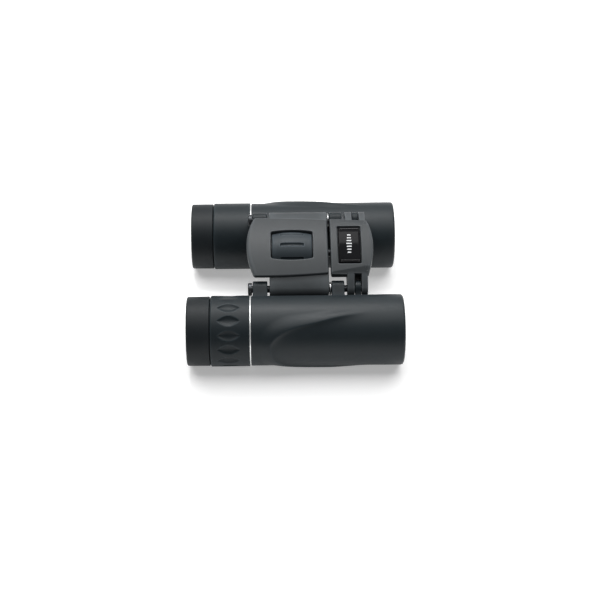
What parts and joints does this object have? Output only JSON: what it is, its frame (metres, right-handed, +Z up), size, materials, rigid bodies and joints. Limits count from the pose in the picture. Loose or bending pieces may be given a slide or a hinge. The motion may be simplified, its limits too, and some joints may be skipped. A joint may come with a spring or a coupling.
{
  "type": "binoculars",
  "caption": "Compact folding roof-prism binoculars: straight rubber-armoured barrels hinged to a grey bridge with a focus wheel, a sliding plate and a dioptre ring.",
  "frame": {"origin": "middle of the footprint, on the surface that both barrels lie on", "axes": "+X along the barrels from the eyecups to the objectives, +Y towards the left barrel, +Z up"},
  "size_m": [0.092, 0.0928, 0.0375],
  "materials": {
    "armour": "soft matt dark blue-grey rubber skin",
    "eyecup": "matt dark rubber",
    "ring": "matt dark moulded ring",
    "shell": "dark glass-filled moulding",
    "deck": "satin grey paint",
    "wheel": "smooth dark rubber",
    "chrome": "bright plated",
    "steel": "turned steel",
    "blued": "blued steel",
    "brass": "turned brass",
    "black": "matt black, anti-reflection",
    "badge": "polished black",
    "glass": "clear polished glass",
    "coated": "polished glass with a violet coating"
  },
  "bodies": {
    "bridge": {"bridge_base": "shell", "bridge_cover": "deck", "rear_screw_bush": "brass", "front_screw_bush": "brass", "right_hinge_pin": "blued", "left_hinge_pin": "blued", "right_hinge_washer": "steel", "left_hinge_washer": "steel", "cover_screw_1": "steel", "cover_screw_2": "steel", "cover_screw_3": "steel", "cover_screw_4": "steel"},
    "focus_wheel": {"focus_wheel_hub": "black", "focus_wheel_grip": "wheel", "focus_screw": "blued"},
    "focus_slide": {"focus_slide": "deck", "slide_floor": "shell", "slide_badge": "badge", "focus_nut": "brass", "slide_screw_1": "steel", "slide_screw_2": "steel"},
    "right_barrel": {"right_barrel_housing": "shell", "right_rubber_armour": "armour", "right_trim_ring": "chrome", "right_hood_ring": "black", "right_prism_cage": "black", "right_half_penta_prism": "glass", "right_schmidt_prism": "glass", "right_prism_clip": "steel", "right_field_stop": "black", "right_ocular_tube": "black", "right_eyecup": "eyecup"},
    "left_barrel": {"left_barrel_housing": "shell", "left_rubber_armour": "armour", "left_trim_ring": "chrome", "left_hood_ring": "black", "left_prism_cage": "black", "left_half_penta_prism": "glass", "left_schmidt_prism": "glass", "left_prism_clip": "steel", "left_field_stop": "black", "left_ocular_tube": "black", "left_eyecup": "eyecup", "left_ocular_cell": "black", "left_eye_lens": "coated", "left_field_lens": "glass", "left_ocular_retainer": "black", "left_ocular_collar": "ring"},
    "right_focus": {"right_objective_cell": "black", "right_objective_lens": "coated", "right_objective_retainer": "black"},
    "left_focus": {"left_objective_cell": "black", "left_objective_lens": "coated", "left_objective_retainer": "black"},
    "right_dioptre": {"right_dioptre_ring": "ring"},
    "right_ocular": {"right_ocular_cell": "black", "right_eye_lens": "coated", "right_field_lens": "glass", "right_ocular_retainer": "black"}
  },
  "joints": [
    {"name": "right_barrel_fold", "type": "hinge", "parent": "bridge", "child": "right_barrel", "pos_m": [0, -0.01316, 0.02302], "axis": [-1, 0, 0], "range_deg": [-86, 10]},
    {"name": "left_barrel_fold", "type": "hinge", "parent": "bridge", "child": "left_barrel", "pos_m": [0, 0.0217, 0.03201], "axis": [1, 0, 0], "range_deg": [-19, 77]},
    {"name": "focus_wheel_turn", "type": "hinge", "parent": "bridge", "child": "focus_wheel", "pos_m": [0, 0.00412, 0.02809], "axis": [1, 0, 0], "range_deg": [-95, 365]},
    {"name": "focus_slide_travel", "type": "slide", "parent": "bridge", "child": "focus_slide", "axis": [1, 0, 0], "range_m": [-0.0005, 0.002]},
    {"name": "right_focus_travel", "type": "slide", "parent": "right_barrel", "child": "right_focus", "axis": [1, 0, 0], "range_m": [-0.0006, 0.0021]},
    {"name": "left_focus_travel", "type": "slide", "parent": "left_barrel", "child": "left_focus", "axis": [1, 0, 0], "range_m": [-0.0006, 0.0021]},
    {"name": "right_dioptre_turn", "type": "hinge", "parent": "right_barrel", "child": "right_dioptre", "pos_m": [0, -0.03046, 0.01515], "axis": [1, 0, 0], "range_deg": [-40, 40]},
    {"name": "right_ocular_travel", "type": "slide", "parent": "right_barrel", "child": "right_ocular", "axis": [1, 0, 0], "range_m": [-0.0008, 0.0008]}
  ],
  "couplings": [
    {"joint": "focus_wheel_turn", "follows": "focus_slide_travel", "rad_per_m": 3141.6},
    {"joint": "right_focus_travel", "follows": "focus_slide_travel", "ratio": 1},
    {"joint": "left_focus_travel", "follows": "focus_slide_travel", "ratio": 1},
    {"joint": "right_dioptre_turn", "follows": "right_ocular_travel", "rad_per_m": 850}
  ]
}
